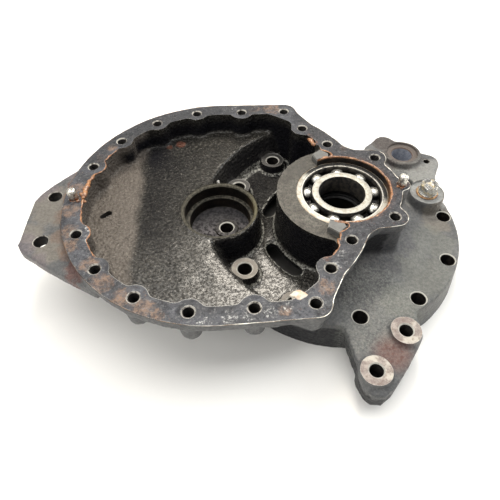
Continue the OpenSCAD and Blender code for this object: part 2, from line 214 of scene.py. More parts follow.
class Look:
    """Small helper that builds a procedural material around one Principled shader."""

    def __init__(self, name, metallic=0.0, coat=0.0, specular=0.5):
        self.material = bpy.data.materials.new(name)
        self.material.use_nodes = True
        self.tree = self.material.node_tree
        self.shader = self.tree.nodes["Principled BSDF"]
        self.set({"Metallic": metallic, "Specular IOR Level": specular})
        self.set({"Coat Weight": coat, "Coat Roughness": 0.2})
        self.place = self.node("TexCoord").outputs["Object"]
        self.normal = self.node("NewGeometry").outputs["Normal"]
        self.tone = None
        self.relief = None

    def put(self, socket, value):
        """Gives a socket a number, a vector, a colour or the output of another node."""
        if isinstance(value, (int, float)):
            socket.default_value = value
        elif isinstance(value, tuple):
            socket.default_value = (*value, 1.0) if socket.type == "RGBA" else value
        else:
            self.tree.links.new(value, socket)

    def set(self, values):
        for name, value in values.items():
            self.put(self.shader.inputs[name], value)

    def node(self, kind, inputs=None, operation=None):
        node = self.tree.nodes.new("ShaderNode" + kind)
        if operation:
            node.operation = operation
        for key, value in (inputs or {}).items():
            self.put(node.inputs[key], value)
        return node

    def noise(self, size, detail=5.0, rough=0.7):
        """Noise whose features are about size millimetres across, from 0 to 1."""
        inputs = {"Scale": 1.0 / (size * MM), "Detail": detail, "Roughness": rough, "Vector": self.place}
        return self.node("TexNoise", inputs).outputs["Fac"]

    def cells(self, size):
        return self.node("TexVoronoi", {"Scale": 1.0 / (size * MM), "Vector": self.place}).outputs["Distance"]

    def math(self, kind, a, b=0.0):
        return self.node("Math", {0: a, 1: b}, kind).outputs[0]

    def times(self, first, *others):
        for other in others:
            first = self.math("MULTIPLY", first, other)
        return first

    def plus(self, a, b):
        return self.math("ADD", a, b)

    def rest(self, value):
        return self.math("SUBTRACT", 1.0, value)

    def either(self, a, b):
        return self.math("MAXIMUM", a, b)

    def step(self, value, low, high):
        """Smooth rise from 0 at low to 1 at high; with low above high it falls."""
        rising = low < high
        ends = {"From Min": min(low, high), "From Max": max(low, high),
                "To Min": 0.0 if rising else 1.0, "To Max": 1.0 if rising else 0.0}
        node = self.node("MapRange", {"Value": value, **ends})
        node.interpolation_type = "SMOOTHSTEP"
        return node.outputs["Result"]

    def span(self, value, low, high):
        """Maps 0..1 to low..high."""
        return self.plus(self.times(value, high - low), low)

    def mix(self, share, a, b):
        node = self.node("Mix")
        node.data_type = "RGBA"
        for key, value in (("Factor", share), ("A", a), ("B", b)):
            self.put(node.inputs[key], value)
        return node.outputs["Result"]

    def start(self, share, a, b):
        """Begins the tone, which lay works on, as a mix of two colours."""
        self.tone = self.mix(share, a, b)

    def lay(self, mask, color, share=1.0):
        """Lays a colour over the tone where the mask is 1."""
        self.tone = self.mix(mask if share == 1.0 else self.times(mask, share), self.tone, color)

    def axis(self, index, source=None):
        return self.node("SeparateXYZ", {0: source or self.place}).outputs[index]

    def across(self, index, low, high):
        """Mask that rises from 0 to 1 between two places, in millimetres, on one axis."""
        return self.step(self.axis(index), low * MM, high * MM)

    def upward(self, low, high):
        """Mask of the faces that look up: the normal's height at which it starts and is full."""
        return self.step(self.axis(Z, self.normal), low, high)

    def distance(self, x, y):
        """Millimetres from the vertical axis at x, y."""
        flat = self.node("VectorMath", {0: self.place, 1: (1000.0, 1000.0, 0.0)}, "MULTIPLY").outputs[0]
        return self.node("VectorMath", {0: flat, 1: (x, y, 0.0)}, "DISTANCE").outputs["Value"]

    def disc(self, x, y, low, high):
        """Mask between two distances, in millimetres, from the vertical axis at x, y."""
        return self.step(self.distance(x, y), low, high)

    def spots(self, places, ragged=0.5, size=9.0):
        """Mask of soft ragged patches: each place is x, y and radius in millimetres."""
        wobble = self.times(self.math("SUBTRACT", self.noise(size, 6.0, 0.65), 0.5), 2.0 * ragged)
        best = None
        for x, y, radius in places:
            share = self.math("DIVIDE", self.distance(x, y), radius)
            best = share if best is None else self.math("MINIMUM", best, share)
        return self.step(self.plus(best, wobble), 1.15, 0.75)

    def attribute(self, name):
        node = self.node("Attribute")
        node.attribute_name = name
        return node.outputs["Fac"]

    def edges(self, width=0.6):
        """Mask of the sharp edges of the mesh, where the rounded normal leaves the flat one."""
        bevel = self.node("Bevel", {"Radius": width * MM})
        bevel.samples = 4
        dot = self.node("VectorMath", {0: bevel.outputs[0], 1: self.normal}, "DOT_PRODUCT")
        return self.step(dot.outputs["Value"], 0.985, 0.9)

    def bump(self, height, depth, strength=1.0):
        """Adds a bump of the given depth in millimetres over the bumps so far."""
        inputs = {"Strength": strength, "Distance": depth * MM, "Height": height}
        if self.relief is not None:
            inputs["Normal"] = self.relief
        self.relief = self.node("Bump", inputs).outputs["Normal"]

    def done(self, roughness):
        self.set({"Base Color": self.tone, "Roughness": roughness})
        if self.relief is not None:
            self.set({"Normal": self.relief})
        return self.material


RUST_DARK = (0.115, 0.045, 0.022)
RUST_ORANGE = (0.36, 0.115, 0.032)
RUST_TAN = (0.25, 0.155, 0.1)
STEEL_PALE = (0.62, 0.61, 0.56)
# Near black for painted shade.
PAINTED_SHADE_BLACK = (0.012, 0.012, 0.014)

# Patches on the outer paint: colour, share, raggedness, grain in millimetres and the places.
PAINT_PATCHES = (
    # Red rust, sandy dust, a painted shadow on the disc along the flange, and green tinge.
    ((0.125, 0.05, 0.04), 0.7, 1.0, 10.0, [(-232, 22, 12), (-214, -70, 13), (-228, -48, 9)]),
    ((0.185, 0.165, 0.135), 0.6, 0.8, 9.0,
     [(-250, 0, 24), (-240, -46, 18), (92, -6, 14), (100, 8, 10), (-212, 64, 15), (-262, -30, 12)]),
    # Painted shadow on the disc along the flange.
    ((0.045, 0.047, 0.056), 0.5, 0.8, 16.0, [(16, -66, 20), (34, -52, 16), (0, -84, 16), (52, -34, 12)]),
    ((0.15, 0.157, 0.135), 0.4, 0.9, 16.0, [(66, -66, 26), (84, -30, 20), (40, -92, 18)]),
    # Lighter grey at the right end, brown and violet on the ear, and rust round the shaft boss.
    ((0.26, 0.26, 0.25), 0.75, 0.5, 12.0, [(100, 34, 22), (108, 52, 14), (88, 46, 12)]),
    ((0.15, 0.092, 0.068), 0.55, 0.8, 12.0,
     [(-236, 10, 9), (-238, -12, 10), (-234, -34, 9), (-226, -54, 8), (-222, 44, 7)]),
    ((0.15, 0.125, 0.14), 0.5, 0.8, 14.0, [(-262, 20, 12), (-264, -42, 12), (-250, -62, 10), (-240, 40, 9)]),
    ((0.05, 0.036, 0.032), 0.7, 0.5, 9.0, [(*SHAFT_BOSS, 22), (62, 88, 14)]),
)


def oily_iron(look, broad, fine, dry_left, grime_and_shade):
    """Tone of the chambers: black oil with painted shade on the walls and the deck's back, drier and brown at
    the left, with painted highlights of wet glints at the deck's foot.
    """
    look.start(look.step(broad, 0.35, 0.68), (0.011, 0.0105, 0.0095), (0.03, 0.028, 0.024))
    smeared = look.mix(0.55, look.tone, (0.012, 0.011, 0.01))
    look.start(look.step(fine, 0.42, 0.62), smeared, look.tone)
    look.lay(dry_left, (0.15, 0.13, 0.112), 0.85)
    speck = look.times(look.step(look.noise(2.8, 4.0, 0.8), 0.5, 0.58), dry_left)
    look.lay(speck, (0.05, 0.042, 0.035), 0.3)
    look.lay(look.spots([(-147, 96, 5), (-158, 92, 3)], 0.5, 4.0), (0.14, 0.05, 0.03), 0.7)
    # Painted shade, with some oil: near black on the walls facing the front and on the deck's back.
    look.lay(grime_and_shade, (0.008, 0.008, 0.01))
    # Painted highlight: pale wet glints on the sloped faces at the deck's foot.
    sloped = look.times(look.upward(0.25, 0.5), look.upward(0.97, 0.9))
    foot = look.times(look.across(Z, -35.2, -36.2), look.across(X, -100, -80))
    foot = look.times(foot, look.span(look.disc(0, 0, 57.0, 60.0), 0.12, 1.0))
    painted_wet_highlight = look.times(sloped, foot, look.step(look.noise(2.3, 4.0, 0.8), 0.44, 0.54))
    look.lay(painted_wet_highlight, (0.5, 0.49, 0.44), 0.8)
    return look.tone


def painted_iron(look, broad, fine, grime_and_shade):
    """Tone of the outside: grey paint with dust, rust, stains and worn streaks, a painted shadow on the disc
    and painted shade under the flange front.
    """
    look.start(look.step(broad, 0.3, 0.7), (0.075, 0.079, 0.084), (0.13, 0.133, 0.135))
    look.lay(look.step(fine, 0.5, 0.75), (0.06, 0.054, 0.048), 0.35)
    red = look.times(look.disc(20, -135, 21.0, 6.0), look.span(look.step(fine, 0.35, 0.6), 0.55, 0.9))
    look.lay(red, (0.125, 0.052, 0.042))
    for color, share, ragged, size, places in PAINT_PATCHES:
        look.lay(look.spots(places, ragged, size), color, share)
    # Painted shade: near black under the flange front and on the front of the foot.
    look.lay(grime_and_shade, PAINTED_SHADE_BLACK)
    streak = look.step(look.noise(1.6, 8.0, 0.8), 0.42, 0.62)
    shade = look.times(look.rest(streak), look.step(fine, 0.3, 0.6))
    look.lay(shade, (0.04, 0.04, 0.045), 0.35)
    pale = look.times(streak, look.spots([(18, -92, 34), (-4, -118, 16), (86, 50, 22)], 0.6, 14.0))
    look.lay(pale, (0.2, 0.21, 0.19), 0.5)
    return look.tone


def iron_gloss(look, inside, grime_and_shade, dry_left):
    """Oil film: it glitters in the chambers, and is weak on grime and painted shade, at the dry left and deep
    at the back.
    """
    clean = look.rest(look.times(grime_and_shade, 0.85))
    coat = look.plus(look.times(inside, 0.8), look.times(look.rest(inside), 0.05))
    coat = look.times(coat, clean, look.rest(look.times(dry_left, 0.8)))
    sparkle = look.step(look.noise(2.5, 4.0, 0.8), 0.46, 0.55)
    back = look.times(look.across(Y, -50, 0), inside)
    dull = look.rest(look.times(back, look.span(look.across(Z, -17.5, -22), 0.35, 0.65)))
    coat = look.times(coat, look.span(sparkle, 0.3, 1.2), dull)
    gloss = look.times(clean, look.span(sparkle, 0.25, 0.65), dull)
    look.set({"Coat Weight": coat, "Coat Roughness": 0.25})
    look.set({"Specular IOR Level": gloss, "Specular Tint": (1.0, 0.94, 0.82)})


def cast_look():
    """Cast iron: dark with oil inside the chambers, with painted shade and painted wet highlights; satin grey
    and dusty outside, with painted shadow and shade by the flange.
    """
    look = Look("cast_iron", coat=0.6, specular=0.5)
    inside = look.attribute("inside")
    grime_and_shade = look.attribute("grime_and_shade")
    broad = look.noise(38, 5.0, 0.6)
    fine = look.noise(3.0, 6.0)
    ragged = look.times(look.math("SUBTRACT", broad, 0.5), 20 * MM)
    dry_left = look.step(look.plus(look.axis(X), ragged), -174 * MM, -184 * MM)
    oily_and_shaded = oily_iron(look, broad, fine, dry_left, grime_and_shade)
    paint = painted_iron(look, broad, fine, grime_and_shade)
    look.start(inside, paint, oily_and_shaded)
    look.bump(look.noise(7, 4.0, 0.6), 0.6)
    look.bump(look.times(look.cells(2.6), look.span(inside, 0.2, 1.0)), 1.5)
    look.bump(look.times(look.noise(2.4, 3.0), look.span(inside, 0.15, 1.0)), 1.3)
    iron_gloss(look, inside, grime_and_shade, dry_left)
    wet = look.times(look.span(look.step(fine, 0.4, 0.65), 0.18, 0.38), inside)
    dry = look.times(look.span(fine, 0.42, 0.62), look.rest(inside))
    return look.done(look.plus(wet, dry))


def flange_look():
    """Machined joint face: blue-grey, with old sealant, tan and orange rust, bright rubbed edges and painted
    glints along its front edges.
    """
    look = Look("machined_joint_face", metallic=0.1)
    broad = look.noise(16, 6.0, 0.65)
    mottle = look.noise(6, 8.0, 0.75)
    look.start(look.step(broad, 0.38, 0.62), (0.019, 0.02, 0.025), (0.056, 0.059, 0.07))
    look.lay(look.step(look.noise(2.2, 6.0), 0.48, 0.7), (0.14, 0.145, 0.155), 0.45)
    tan = [(-205, -72, 7), (-192, -90, 9), (-176, -104, 8), (-160, -113, 8), (-150, -119, 5),
           (-226, -38, 8), (-229, 12, 8), (-231, -14, 8), (-223, -52, 7), (-62, -121, 5), (-31, -103, 7),
           (-215, 52, 6), (-52, 121, 9), (-70, 122, 6), (10, 52, 4), (-208, 68, 5)]
    mottled = look.span(look.step(mottle, 0.4, 0.62), 0.1, 0.75)
    look.lay(look.times(look.spots(tan, 0.9, 5.0), mottled), RUST_TAN)
    grime_and_shade = look.times(look.step(mottle, 0.6, 0.68), look.across(X, -120, -190))
    look.lay(grime_and_shade, (0.2, 0.12, 0.075), 0.6)
    pale = [(-208, -46, 5), (-211, -34, 5), (-96, 126, 8), (-100, -123, 6), (-88, -123, 5), (-72, -122, 5),
            (-60, -118, 4), (-20, -84, 4), (-14, -74, 4), (-118, -127, 5)]
    flecks = look.step(look.noise(3.0, 8.0, 0.8), 0.5, 0.62)
    look.lay(look.times(look.spots(pale, 0.8, 4.0), flecks), (0.5, 0.5, 0.48))
    orange = [(-17, 62, 5), (-19, 72, 4), (-20, -64, 4), (-15, -58, 4), (-26, -76, 4), (57, 2, 5)]
    seat_rim = look.times(look.disc(0, 0, 47.0, 41.5), look.across(X, 0, 22))
    rusted = look.either(seat_rim, look.spots(orange, 0.7, 4.0))
    rusted = look.times(rusted, look.step(look.noise(2.5, 6.0), 0.42, 0.6))
    look.lay(rusted, (0.24, 0.085, 0.033), 0.7)
    dark = [(-150, 121, 22), (-182, 96, 20), (-110, 124, 22), (-80, 122, 12), (-200, 78, 12), (-216, 50, 10),
            (-130, -118, 8), (-100, -115, 5), (-22, 104, 12), (-10, 82, 10)]
    look.lay(look.spots(dark, 0.7), (0.014, 0.015, 0.019), 0.8)
    look.lay(look.across(X, -35, 5), (0.017, 0.0165, 0.02), 0.7)
    pits = look.step(look.noise(4.0, 5.0, 0.8), 0.52, 0.57)
    look.lay(pits, (0.009, 0.009, 0.0105), 0.5)
    glints = look.step(look.noise(3.1, 5.0, 0.85), 0.55, 0.6)
    look.lay(glints, (0.26, 0.265, 0.265), 0.3)
    look.lay(look.step(look.noise(4.5, 8.0, 0.75), 0.62, 0.67), RUST_DARK, 0.5)
    look.lay(look.times(look.edges(), look.span(look.step(mottle, 0.42, 0.6), 0.1, 0.75)), STEEL_PALE)
    # Painted highlight: glints on the front edges, where they catch the light.
    front = look.times(look.across(Y, -70, -100), look.step(mottle, 0.36, 0.48))
    look.lay(look.times(look.edges(1.0), front), (0.6, 0.58, 0.52), 0.9)
    look.bump(look.noise(5, 8.0), 0.7)
    look.bump(look.noise(0.8, 4.0, 0.6), 0.14, 0.8)
    return look.done(look.plus(look.span(broad, 0.36, 0.56), look.times(pits, 0.25)))


def crescent_look():
    """Face of the bearing housing: matte brown-grey, pitted and lightly turned, darker at the back."""
    look = Look("housing_face", metallic=0.1)
    fine = look.noise(1.6, 6.0)
    look.start(look.step(look.noise(12, 5.0, 0.55), 0.35, 0.65), (0.085, 0.076, 0.061), (0.16, 0.147, 0.122))
    look.lay(look.step(fine, 0.5, 0.72), (0.045, 0.04, 0.033), 0.5)
    look.lay(look.edges(0.8), (0.36, 0.33, 0.26), 0.6)
    look.lay(look.step(look.noise(3.0, 4.0, 0.85), 0.48, 0.53), (0.036, 0.033, 0.028), 0.75)
    look.lay(look.across(Y, 0, 30), (0.055, 0.052, 0.046), 0.35)
    turned = look.math("SINE", look.times(look.distance(0, 0), 9.0))
    look.bump(turned, 0.03, 0.7)
    look.bump(look.noise(1.8), 0.9)
    return look.done(look.span(fine, 0.4, 0.6))


def dull_face_look():
    """Grey worn metal of the filler boss and the blocks over the housing, brown at the shaft boss."""
    look = Look("dull_face", metallic=0.1)
    patch = look.noise(5, 6.0)
    look.start(look.step(patch, 0.35, 0.68), (0.17, 0.174, 0.17), (0.28, 0.284, 0.275))
    block = look.mix(patch, (0.05, 0.051, 0.048), (0.2, 0.2, 0.19))
    look.lay(look.disc(0, 0, 75.0, 65.0), block)
    look.lay(look.disc(*SHAFT_BOSS, 18.0, 16.0), (0.085, 0.062, 0.05), 0.85)
    look.lay(look.edges(0.5), (0.4, 0.38, 0.33), 0.35)
    look.bump(look.noise(1.4), 0.2)
    return look.done(look.span(patch, 0.38, 0.55))


def boss_look():
    """Spot-faced boss: cream-grey steel with brown rust, olive in the chamber, with painted shade at its
    back.
    """
    look = Look("spot_face", metallic=0.2)
    patch = look.noise(6, 6.0)
    look.start(look.step(patch, 0.35, 0.68), (0.165, 0.128, 0.115), (0.34, 0.3, 0.265))
    look.lay(look.step(look.noise(11, 3.0, 0.6), 0.5, 0.6), (0.5, 0.47, 0.4), 0.6)
    look.lay(look.step(look.noise(3.5, 6.0, 0.75), 0.5, 0.66), (0.13, 0.085, 0.06), 0.65)
    chamber = look.across(X, -10, -20)
    look.lay(chamber, (0.085, 0.078, 0.062), 0.75)
    # Painted shade: the chamber's bosses go near black towards the back, under the flange.
    look.lay(look.times(look.across(Y, -15, 8), chamber), (0.02, 0.019, 0.019), 0.9)
    look.lay(look.edges(), STEEL_PALE, 0.5)
    look.bump(look.noise(1.4), 0.16)
    return look.done(look.span(patch, 0.35, 0.55))


def hole_look():
    """Drilled and tapped holes: dark walls with oil under a bright chamfer. The shaft boss's bore is pale
    blue-grey: painted light for its dimly lit far wall.
    """
    look = Look("drilled_hole", specular=0.25)
    patch = look.noise(3)
    shaft = look.disc(*SHAFT_BOSS, 12.0, 11.0)
    look.start(look.step(patch, 0.4, 0.7), (0.006, 0.0055, 0.006), (0.03, 0.024, 0.02))
    # Painted light: the shaft boss's bore is pale blue-grey, standing in for the dim light seen down it.
    look.lay(shaft, look.mix(look.step(patch, 0.3, 0.7), (0.2, 0.22, 0.27), (0.4, 0.42, 0.47)))
    wall = look.tone
    look.start(look.step(patch, 0.4, 0.55), (0.09, 0.08, 0.07), (0.42, 0.4, 0.36))
    look.lay(look.across(Z, -30, -38), (0.5, 0.49, 0.44))
    look.lay(shaft, (0.1, 0.07, 0.055))
    cover_thread = look.times(look.across(Z, 5.1, 4.7), look.across(Z, -18.8, -18.4))
    cover_thread = look.times(cover_thread, look.across(X, -241, -239))
    bracket_thread = look.times(look.across(Z, -34.9, -35.3), look.across(Y, -109, -111))
    rim = look.times(look.upward(0.35, 0.65), look.rest(look.either(cover_thread, bracket_thread)))
    look.start(rim, wall, look.tone)
    look.bump(look.noise(0.8, 4.0, 0.6), 0.08)
    return look.done(look.span(patch, 0.45, 0.65))


def bore_look():
    """Bearing seat: dark oil-stained bore with orange rust high up and on its right side."""
    look = Look("bearing_seat", specular=0.25)
    patch = look.noise(8, 6.0)
    rust = look.mix(look.step(look.noise(2.5, 6.0), 0.42, 0.62), RUST_DARK, (0.26, 0.13, 0.05))
    look.start(look.step(patch, 0.4, 0.7), (0.006, 0.005, 0.005), (0.03, 0.024, 0.018))
    look.lay(look.times(look.across(X, 12, 36), look.across(Y, 12, -12)), rust, 0.8)
    look.lay(look.across(Z, 4.4, 5.6), rust, 0.8)
    look.bump(patch, 0.12)
    look.bump(look.noise(1.1), 0.1)
    return look.done(look.span(patch, 0.3, 0.5))


def pocket_look():
    """Idler bearing pocket: black walls with oil, golden at the right, olive ledges and a speckled floor with
    painted shade at its back.
    """
    look = Look("idler_pocket", specular=0.16)
    patch = look.noise(7, 6.0)
    up = look.upward(0.3, 0.8)
    golden = look.across(X, -85, -72)
    look.start(look.step(patch, 0.38, 0.68), (0.003, 0.0025, 0.0022), (0.011, 0.008, 0.006))
    look.lay(look.times(golden, look.step(patch, 0.3, 0.6)), (0.085, 0.056, 0.026))
    wall = look.tone
    specks = look.step(look.noise(3.2, 5.0, 0.8), 0.46, 0.54)
    look.start(specks, (0.006, 0.0055, 0.0065), (0.12, 0.11, 0.112))
    # Painted shade: the floor is darker on its back half, below the back wall.
    look.lay(look.across(Y, -10, 12), (0.014, 0.0135, 0.015), 0.75)
    floor = look.tone
    ledge = look.step(look.noise(2.5, 5.0, 0.55), 0.4, 0.65)
    look.start(ledge, (0.02, 0.019, 0.016), (0.085, 0.078, 0.062))
    look.lay(look.across(Z, -34.5, -38.5), floor)
    rim = look.times(look.across(Z, -17.5, -15.5), look.span(golden, 0.06, 0.6))
    look.lay(rim, (0.16, 0.14, 0.075))
    look.start(up, wall, look.tone)
    look.lay(look.times(look.edges(0.5), up), (0.3, 0.27, 0.19), 0.35)
    look.bump(look.noise(3), 0.8)
    return look.done(look.span(patch, 0.35, 0.6))


def steel_look(name, pale, stain, stain_share, rough, polish=0.95):
    """Ground or polished steel with an oil film and faint stains."""
    look = Look(name, metallic=polish)
    film = look.noise(5, 5.0, 0.6)
    look.start(look.times(look.step(film, 0.4, 0.7), stain_share), pale, stain)
    look.lay(look.step(look.noise(1.3, 6.0), 0.62, 0.7), (0.12, 0.09, 0.06), 0.45)
    look.bump(look.noise(0.9, 3.0, 0.55), 0.012, 0.6)
    return look.done(look.span(film, rough, rough + 0.16))


def cage_look():
    """Pressed cage: silver where it is domed over the balls, black with oil between them."""
    look = Look("cage_steel", metallic=0.8)
    domes = []
    for name, obj in NODES.items():
        if name.startswith("ball_"):
            middle = sum((Vector(corner) for corner in obj.bound_box), Vector()) / 8
            domes.append((middle.x / MM, middle.y / MM, 5.6))
    patch = look.noise(2.2)
    silver = look.mix(look.step(patch, 0.42, 0.64), (0.62, 0.61, 0.57), (0.27, 0.25, 0.21))
    look.start(look.spots(domes, 0.25, 3.0), (0.014, 0.0135, 0.015), silver)
    look.lay(look.edges(0.3), (0.5, 0.48, 0.42), 0.5)
    look.bump(patch, 0.1)
    return look.done(look.span(patch, 0.16, 0.34))


def ring_look():
    """Ground bearing rings: pale faces and varnished rims, with painted shade near black at the back right of
    the outer ring and on the faces that don't look up, such as the raceways.
    """
    look = Look("ring_steel", metallic=0.3)
    film = look.noise(4, 5.0, 0.65)
    radius = look.distance(0, 0)
    look.start(look.step(film, 0.42, 0.66), (0.46, 0.45, 0.4), (0.33, 0.3, 0.24))
    look.lay(look.step(look.noise(1.3, 6.0), 0.57, 0.66), (0.16, 0.12, 0.085))
    look.lay(look.times(look.step(radius, 38.4, 39.6), look.step(film, 0.35, 0.6)), (0.3, 0.19, 0.09), 0.8)
    # Painted shade and dark reflection: the outer ring's face goes near black and dull towards the back
    # right.
    to_back_right = look.plus(look.times(look.axis(X), 0.5), look.times(look.axis(Y), 0.85))
    oily_and_shaded = look.times(look.step(to_back_right, 2 * MM, 12 * MM), look.step(radius, 30.0, 33.5))
    oily_and_shaded = look.times(oily_and_shaded, look.step(radius, 39.5, 38.6))
    look.lay(oily_and_shaded, PAINTED_SHADE_BLACK, 0.95)
    look.set({"Specular IOR Level": look.span(oily_and_shaded, 0.5, 0.1)})
    # Painted highlight: a thin bright arc on the outer ring's shoulder.
    arc = look.times(look.step(radius, 33.9, 34.3), look.step(radius, 35.9, 35.5), look.step(film, 0.36, 0.5))
    look.lay(arc, (0.62, 0.6, 0.54), 0.75)
    look.lay(look.edges(0.35), (0.8, 0.78, 0.7), 0.5)
    # Painted shade: faces that don't look up, such as the raceways and the bore, are near black.
    dark = look.mix(look.step(film, 0.4, 0.6), (0.02, 0.019, 0.02), (0.07, 0.062, 0.052))
    look.start(look.upward(0.6, 0.9), dark, look.tone)
    look.bump(look.noise(0.9, 3.0, 0.55), 0.02, 0.6)
    return look.done(look.span(film, 0.4, 0.6))


def pin_look():
    """Locating pin: bright on top, orange rust and sealant crumbs at its foot."""
    look = Look("pin_steel", metallic=0.85)
    patch = look.noise(2.0, 6.0)
    rust = look.mix(look.step(patch, 0.45, 0.6), RUST_DARK, RUST_ORANGE)
    look.start(look.step(look.noise(1.8), 0.45, 0.58), (0.8, 0.78, 0.7), (0.3, 0.28, 0.26))
    look.lay(look.times(look.across(Z, 10.5, 6.5), look.step(patch, 0.3, 0.55)), rust)
    look.bump(patch, 0.15)
    look.bump(look.noise(1.6, 4.0), 0.5)
    return look.done(look.span(patch, 0.16, 0.4))


def plug_look():
    """Zinc plate: silver with a yellow tint and dull scuffs."""
    look = Look("zinc_plate", metallic=0.95)
    patch = look.noise(4, 5.0, 0.65)
    look.start(look.step(patch, 0.45, 0.65), (0.62, 0.62, 0.6), (0.8, 0.66, 0.4))
    look.lay(look.step(look.noise(2.0), 0.56, 0.66), (0.14, 0.12, 0.12))
    look.bump(look.noise(2.2, 5.0, 0.55), 0.35)
    return look.done(look.span(patch, 0.18, 0.36))


def washer_look():
    look = Look("copper_washer", metallic=0.9)
    patch = look.noise(3, 5.0, 0.65)
    look.start(look.step(patch, 0.35, 0.65), (0.35, 0.17, 0.1), (0.66, 0.46, 0.26))
    look.bump(patch, 0.08)
    return look.done(look.span(patch, 0.3, 0.5))


def rubber_look():
    look = Look("nitrile_rubber", specular=0.4)
    dust = look.noise(4, 5.0, 0.55)
    look.start(look.step(dust, 0.45, 0.75), (0.012, 0.012, 0.013), (0.045, 0.042, 0.04))
    look.bump(look.noise(0.7, 3.0, 0.55), 0.03)
    return look.done(look.span(dust, 0.4, 0.6))


def sealant_look():
    """Torn copper sealant with rust crumbs: glossy orange-red skin, brown in patches, with pale golden
    painted highlights.
    """
    look = Look("torn_sealant", coat=0.5)
    patch = look.noise(3.0, 6.0)
    look.start(look.step(patch, 0.38, 0.6), (0.12, 0.045, 0.02), (0.38, 0.17, 0.066))
    # Painted highlight: pale golden glints on the skin.
    look.lay(look.step(look.noise(1.6, 5.0, 0.55), 0.58, 0.68), (0.74, 0.5, 0.3), 0.7)
    look.bump(look.noise(1.1), 0.25)
    return look.done(look.span(patch, 0.22, 0.45))


def putty_look():
    """Pale blob of hardened sealant with orange stains."""
    look = Look("pale_putty", coat=0.2)
    patch = look.noise(4.0, 5.0, 0.6)
    look.start(look.times(look.step(patch, 0.45, 0.65), 0.7), (0.72, 0.66, 0.56), (0.62, 0.35, 0.18))
    look.bump(look.noise(1.3), 0.25)
    return look.done(look.span(patch, 0.3, 0.5))


def burr_look():
    """Raised bright edge of the joint face, rusty where it has dulled, at the left and at the back."""
    look = Look("rubbed_edge", metallic=0.6)
    patch = look.noise(9, 6.0)
    look.start(look.step(patch, 0.42, 0.58), (0.74, 0.72, 0.64), (0.16, 0.12, 0.09))
    back = look.times(look.across(Y, 30, 60), look.across(X, 30, 0))
    worn = look.mix(look.step(patch, 0.4, 0.6), (0.05, 0.045, 0.045), (0.17, 0.1, 0.055))
    look.lay(look.either(look.across(X, -85, -140), back), worn)
    look.bump(look.noise(1.0, 4.0, 0.55), 0.08)
    return look.done(look.span(patch, 0.22, 0.45))


CAST = cast_look()
FLANGE = flange_look()
CRESCENT = crescent_look()
BOSS = boss_look()
DULL = dull_face_look()
HOLE = hole_look()
BORE = bore_look()
POCKET = pocket_look()
SEALANT = sealant_look()


# ---------------------------------------------------------------- casting

def casting_blank():
    """The CAD case with machining allowance on its faces and no holes, roughened like a sand casting."""
    bm = bmesh.new()
    bm.from_mesh(NODES["gear_case"].data)
    bmesh.ops.remove_doubles(bm, verts=bm.verts, dist=1e-6)
    raised = {FLANGE_TOP: ALLOWANCE, CRESCENT_TOP: ALLOWANCE, BOSS_TOP: LOW_ALLOWANCE,
              SHAFT_BOSS_TOP: LOW_ALLOWANCE, FILLER_TOP: LOW_ALLOWANCE, FOOT: -LOW_ALLOWANCE}
    for vert in bm.verts:
        for level, change in raised.items():
            if abs(vert.co.z / MM - level) < 0.01:
                vert.co.z += change * MM
                break
    blank = finish_mesh("gear_case_casting", bm, CAST)
    combine(blank, finish_mesh("plugs", hole_plugs()), "UNION")
    remesh = blank.modifiers.new("grain", "REMESH")
    remesh.mode = "VOXEL"
    remesh.voxel_size = 1.5 * MM
    relax = blank.modifiers.new("fillets", "SMOOTH")
    relax.factor = 0.5
    relax.iterations = 9
    for name, size, depth in (("swell", 14.0, 0.55), ("sand", 3.4, 0.34)):
        texture = bpy.data.textures.new(name, "CLOUDS")
        texture.noise_scale = size * MM
        texture.noise_depth = 3
        ripple = blank.modifiers.new(name, "DISPLACE")
        ripple.texture = texture
        ripple.texture_coords = "LOCAL"
        ripple.strength = depth * MM
        ripple.mid_level = 0.5
    thin = blank.modifiers.new("thin", "DECIMATE")
    thin.ratio = 0.5
    apply_modifiers(blank)
    return blank


def hole_plugs():
    """Round plugs that fill the CAD's holes until the drills cut them again."""
    flange_skin = FLANGE_TOP + ALLOWANCE - SUNK
    boss_skin = BOSS_TOP + LOW_ALLOWANCE - SUNK
    filled = [(p, 6.5, -19.5, flange_skin) for p in COVER_BOLTS + list(DOWELS.values())]
    filled += [(p, 8.0, EAR_TOP - 10.5, EAR_TOP - SUNK) for p in EAR_HOLES]
    filled += [(p, 8.0, DISC_TOP - 17.5, boss_skin) for p in BRACKET_BOSSES]
    filled += [(SHAFT_BOSS, 12.0, FOOT - 1.0, SHAFT_BOSS_TOP + LOW_ALLOWANCE - SUNK),
               (EAR_BOSS, 4.0, -52.5, EAR_BOSS_TOP - SUNK),
               (FILLER, 7.5, -42.0, FILLER_TOP + LOW_ALLOWANCE - SUNK),
               (PIT, 4.5, -21.5, DISH - SUNK),
               ((0.0, 0.0), 42.0, -51.5, flange_skin),
               (GEAR_CENTRE, 33.2, -43.0, DISH + 1.2)]
    for k, place in enumerate(DISC_BOLTS):
        top = boss_skin if k in DECK_DISC_BOLTS else DISC_TOP - SUNK
        if k == POCKET_DISC_BOLT:
            top = -44.0
        filled.append((place, 8.0, FOOT - LOW_ALLOWANCE + SUNK, top))
    plugs = bmesh.new()
    for place, radius, z0, z1 in filled:
        add_lathe(plugs, [(0, z0), (radius, z0), (radius, z1), (0, z1)], place, 32)
    return plugs


def sheet(z0, z1):
    """A slab wider than the part."""
    bm = bmesh.new()
    add_prism(bm, [(-300, -200), (160, -200), (160, 200), (-300, 200)], z0, z1)
    return bm


def crescent_outline():
    """Inner edge of the joint face round the bearing, closed by an arc outside the housing."""
    edge = [(-16.3, -36.6), (-16.3, 36.6), (-20.0, 45.0), (-11.0, 52.5)]
    arc = [polar(60.5, 102 + 156 * i / 40) for i in range(41)]
    return edge + arc + [(-11.0, -52.5), (-20.0, -45.0)]


